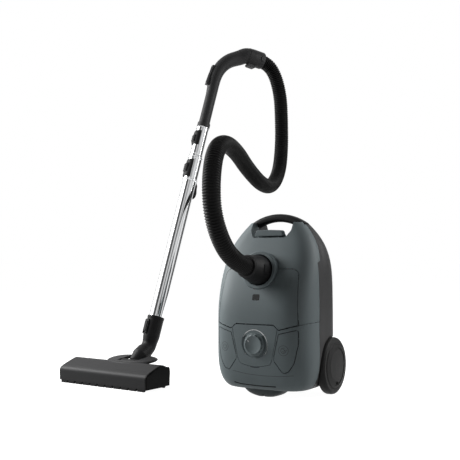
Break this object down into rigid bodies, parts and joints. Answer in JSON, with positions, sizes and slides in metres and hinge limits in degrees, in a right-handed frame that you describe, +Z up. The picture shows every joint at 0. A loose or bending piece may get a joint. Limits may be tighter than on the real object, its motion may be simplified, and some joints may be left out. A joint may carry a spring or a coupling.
{
  "type": "vacuum cleaner",
  "caption": "Canister vacuum cleaner parked upright, with a ribbed suction hose, curved handle, chrome telescopic wand and a wide floor head.",
  "frame": {"origin": "centre of the standing foot's sole, on the floor", "axes": "+Z up, -Y the front of the parked canister with the inlet and dial, +X the canister's side with the visible wheel"},
  "size_m": [0.6484, 0.6943, 0.8717],
  "materials": {
    "green_shell": "satin",
    "dark_shell": "satin",
    "black_plastic": "satin",
    "hose_black": "satin",
    "chrome_tube": "polished",
    "tyre_rubber": "matt",
    "wheel_disc": "satin",
    "head_cover": "satin",
    "lens": "clear",
    "signal": "matt",
    "seal": "matt",
    "steel": "satin",
    "motor_steel": "satin",
    "fan_metal": "satin",
    "paper": "matt",
    "foam": "matt",
    "board": "satin",
    "bristle": "matt",
    "knob": "satin"
  },
  "bodies": {
    "canister": {"hood": "green_shell", "lower_shell": "green_shell", "base_shell": "dark_shell", "standing_foot": "green_shell", "carry_handle": "black_plastic", "inlet_collar": "green_shell", "inlet_spigot": "black_plastic", "control_panel": "green_shell", "bulkhead": "black_plastic", "bag_holder": "signal", "dust_bag": "paper", "motor_filter": "foam", "motor_can": "motor_steel", "motor_mounts": "seal", "control_board": "board", "exhaust_filter": "paper", "exhaust_grille": "dark_shell", "cord_outlet": "black_plastic", "wheel_axles": "steel", "hatch_hinge_pin": "steel", "hose": "hose_black", "hose_end_ring": "black_plastic"},
    "hatch": {"hatch_panel": "green_shell", "hatch_seal": "seal", "indicator_lens": "lens"},
    "flag": {"indicator_flag": "signal"},
    "latch": {"latch_tab": "green_shell"},
    "dial": {"dial_knob": "knob"},
    "power_pedal": {"power_pedal": "green_shell"},
    "rewind_pedal": {"rewind_pedal": "green_shell"},
    "wheel_left": {"tyre_left": "tyre_rubber", "wheel_disc_left": "wheel_disc"},
    "wheel_right": {"tyre_right": "tyre_rubber", "wheel_disc_right": "wheel_disc"},
    "castor": {"castor_fork": "black_plastic"},
    "castor_wheel": {"castor_wheel": "black_plastic"},
    "cuff": {"inlet_cuff": "black_plastic"},
    "cuff_button_left": {"cuff_button_left": "dark_shell"},
    "cuff_button_right": {"cuff_button_right": "dark_shell"},
    "rotor": {"motor_shaft": "steel", "motor_fan": "fan_metal"},
    "reel": {"cord_reel": "black_plastic"},
    "handle": {"grip": "black_plastic", "upper_tube": "chrome_tube", "upper_sleeve": "chrome_tube"},
    "suction_slider": {"suction_slider": "dark_shell"},
    "wand_button": {"wand_button": "black_plastic"},
    "lower_wand": {"lower_tube": "chrome_tube", "lock_housing": "chrome_tube", "neck": "black_plastic"},
    "lock_slider": {"lock_slider": "black_plastic"},
    "neck_button": {"neck_button": "dark_shell"},
    "knuckle": {"knuckle": "black_plastic"},
    "head": {"head_cover": "head_cover", "head_end_caps": "black_plastic", "head_sole": "black_plastic", "head_comb": "black_plastic"},
    "head_pedal": {"head_pedal": "head_cover"},
    "brush": {"brush_strip": "bristle"},
    "rollers": {"head_rollers": "black_plastic"}
  },
  "joints": [
    {"name": "hatch_hinge", "type": "hinge", "parent": "canister", "child": "hatch", "pos_m": [0, -0.04889, 0.1745], "axis": [1, 0, 0], "range_deg": [0, 75]},
    {"name": "flag_slide", "type": "slide", "parent": "hatch", "child": "flag", "axis": [0, 0.2713, 0.9625], "range_m": [0, 0.013], "stiffness_N_per_m": 30, "springref_m": -0.002},
    {"name": "latch_press", "type": "slide", "parent": "canister", "child": "latch", "axis": [0, 0, -1], "range_m": [0, 0.0025], "stiffness_N_per_m": 900, "springref_m": -0.001},
    {"name": "dial_turn", "type": "hinge", "parent": "canister", "child": "dial", "pos_m": [0, -0.05638, 0.115], "axis": [0, -1, 0], "range_deg": [-135, 135]},
    {"name": "power_press", "type": "slide", "parent": "canister", "child": "power_pedal", "axis": [0, 1, 0], "range_m": [0, 0.003], "stiffness_N_per_m": 1500, "springref_m": -0.001},
    {"name": "rewind_press", "type": "slide", "parent": "canister", "child": "rewind_pedal", "axis": [0, 1, 0], "range_m": [0, 0.003], "stiffness_N_per_m": 1500, "springref_m": -0.001},
    {"name": "wheel_left_spin", "type": "hinge", "parent": "canister", "child": "wheel_left", "pos_m": [-0.11, 0.09, 0.062], "axis": [1, 0, 0], "continuous": true},
    {"name": "wheel_right_spin", "type": "hinge", "parent": "canister", "child": "wheel_right", "pos_m": [0.11, 0.09, 0.062], "axis": [1, 0, 0], "continuous": true},
    {"name": "castor_swivel", "type": "hinge", "parent": "canister", "child": "castor", "pos_m": [0, 0.11541, 0.322], "axis": [0, 1, 0], "continuous": true},
    {"name": "castor_spin", "type": "hinge", "parent": "castor", "child": "castor_wheel", "pos_m": [0, 0.14041, 0.309], "axis": [1, 0, 0], "continuous": true},
    {"name": "cuff_swivel", "type": "hinge", "parent": "canister", "child": "cuff", "pos_m": [0, -0.039, 0.272], "axis": [0, -0.9877, 0.1564], "continuous": true},
    {"name": "cuff_button_left_press", "type": "slide", "parent": "cuff", "child": "cuff_button_left", "axis": [1, 0, 0], "range_m": [0, 0.0015], "stiffness_N_per_m": 400, "springref_m": -0.0008},
    {"name": "cuff_button_right_press", "type": "slide", "parent": "cuff", "child": "cuff_button_right", "axis": [-1, 0, 0], "range_m": [0, 0.0015], "stiffness_N_per_m": 400, "springref_m": -0.0008},
    {"name": "rotor_spin", "type": "hinge", "parent": "canister", "child": "rotor", "pos_m": [0.036, 0.042, 0.08], "axis": [0, 0, 1], "continuous": true},
    {"name": "reel_spin", "type": "hinge", "parent": "canister", "child": "reel", "pos_m": [-0.066, 0.044, 0.078], "axis": [1, 0, 0], "continuous": true},
    {"name": "handle_swing", "type": "hinge", "parent": "canister", "child": "handle", "pos_m": [-0.236, 0.371, 0.8455], "axis": [0.5203, 0.8296, -0.2025], "range_deg": [-6, 30]},
    {"name": "suction_slide", "type": "slide", "parent": "handle", "child": "suction_slider", "axis": [0.2186, 0.2691, 0.938], "range_m": [0, 0.016]},
    {"name": "wand_button_slide", "type": "slide", "parent": "handle", "child": "wand_button", "axis": [0.0543, 0.3244, 0.9444], "range_m": [0, 0.003], "stiffness_N_per_m": 400, "springref_m": -0.0008},
    {"name": "telescope", "type": "slide", "parent": "handle", "child": "lower_wand", "axis": [-0.0543, -0.3244, -0.9444], "range_m": [0, 0.25]},
    {"name": "lock_slide", "type": "slide", "parent": "lower_wand", "child": "lock_slider", "axis": [-0.0543, -0.3244, -0.9444], "range_m": [0, 0.003], "stiffness_N_per_m": 400, "springref_m": -0.0008},
    {"name": "neck_button_slide", "type": "slide", "parent": "lower_wand", "child": "neck_button", "axis": [-0.0543, -0.3244, -0.9444], "range_m": [0, 0.003], "stiffness_N_per_m": 400, "springref_m": -0.0008},
    {"name": "neck_swivel", "type": "hinge", "parent": "lower_wand", "child": "knuckle", "pos_m": [-0.35419, 0.02489, 0.06809], "axis": [0.0611, 0.8742, 0.4817], "range_deg": [-60, 60]},
    {"name": "head_tilt", "type": "hinge", "parent": "knuckle", "child": "head", "pos_m": [-0.35724, -0.01882, 0.044], "axis": [0.9976, -0.0698, 0], "range_deg": [-20, 20]},
    {"name": "pedal_rock", "type": "hinge", "parent": "head", "child": "head_pedal", "pos_m": [-0.3589, -0.04253, 0.05197], "axis": [0.9976, -0.0698, 0], "range_deg": [-4, 4]},
    {"name": "brush_slide", "type": "slide", "parent": "head", "child": "brush", "axis": [0, 0, -1], "range_m": [-0.003, 0.003]},
    {"name": "roller_spin", "type": "hinge", "parent": "head", "child": "rollers", "pos_m": [-0.37664, -0.02548, 0.006], "axis": [0.9976, -0.0698, 0], "continuous": true}
  ],
  "couplings": [
    {"joint": "brush_slide", "follows": "pedal_rock", "m_per_rad": 0.0401}
  ]
}
